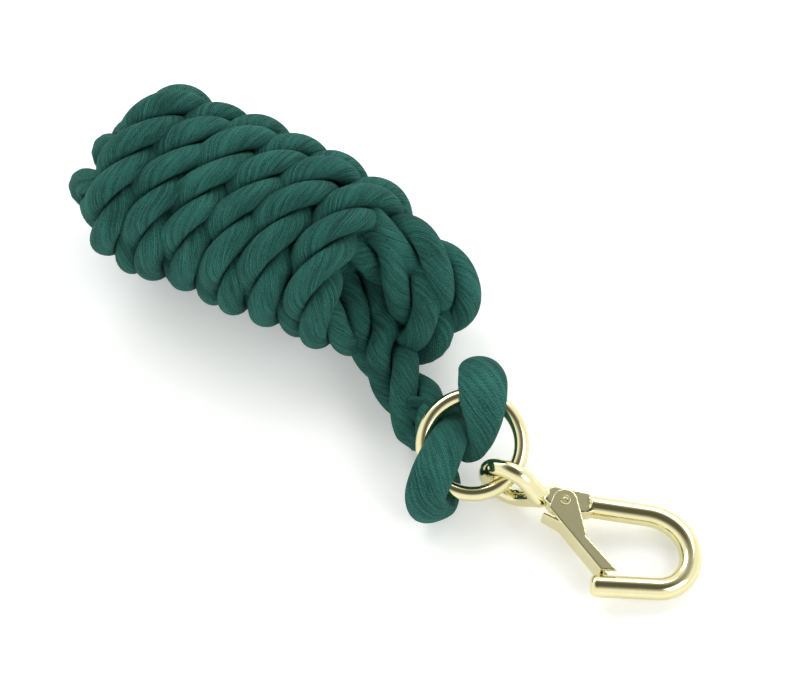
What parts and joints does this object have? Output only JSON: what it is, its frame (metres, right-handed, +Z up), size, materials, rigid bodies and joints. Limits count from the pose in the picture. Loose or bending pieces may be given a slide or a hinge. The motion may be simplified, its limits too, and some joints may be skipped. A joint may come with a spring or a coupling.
{
  "type": "lead rope with bull snap",
  "caption": "Three-strand horse lead rope gathered into a wrapped hank, spliced round a loose ring that carries a bull snap with a spring gate.",
  "frame": {"origin": "on the ground, under the middle of the whole object's bounding box", "axes": "+X along the hank towards the snap, which is the object's longest extent; +Z up; the hank lies towards +Y, and the lead and the clip lie towards -Y"},
  "size_m": [0.309, 0.1287, 0.068],
  "materials": {
    "rope": "soft spun cotton, dark green, slightly lustrous",
    "plated_metal": "polished pale brass plating",
    "spring_steel": "drawn wire"
  },
  "bodies": {
    "rope": {"rope_hank": "rope", "rope_lead": "rope", "eye_strand_upper": "rope", "eye_strand_lower": "rope"},
    "ring": {"ring": "plated_metal"},
    "snap": {"snap_body": "plated_metal", "gate_spring": "spring_steel"},
    "gate": {"gate": "plated_metal", "gate_rivet": "plated_metal"}
  },
  "joints": [
    {"name": "ring_turn", "type": "hinge", "parent": "rope", "child": "ring", "pos_m": [0.0476, -0.0279, 0.023], "axis": [0.2145, -0.4517, 0.866], "range_deg": [-20, 40]},
    {"name": "snap_swing", "type": "hinge", "parent": "ring", "child": "snap", "pos_m": [0.06606, -0.03306, 0.01574], "axis": [0.3777, 0.856, 0.3529], "range_deg": [-12, 25]},
    {"name": "gate_hinge", "type": "hinge", "parent": "snap", "child": "gate", "pos_m": [0.0916, -0.032, 0.01134], "axis": [0.1125, -0.002, 0.9937], "range_deg": [0, 28], "stiffness_Nm_per_rad": 0.02, "springref_deg": -34.38, "deforming": ["gate_spring"]}
  ]
}
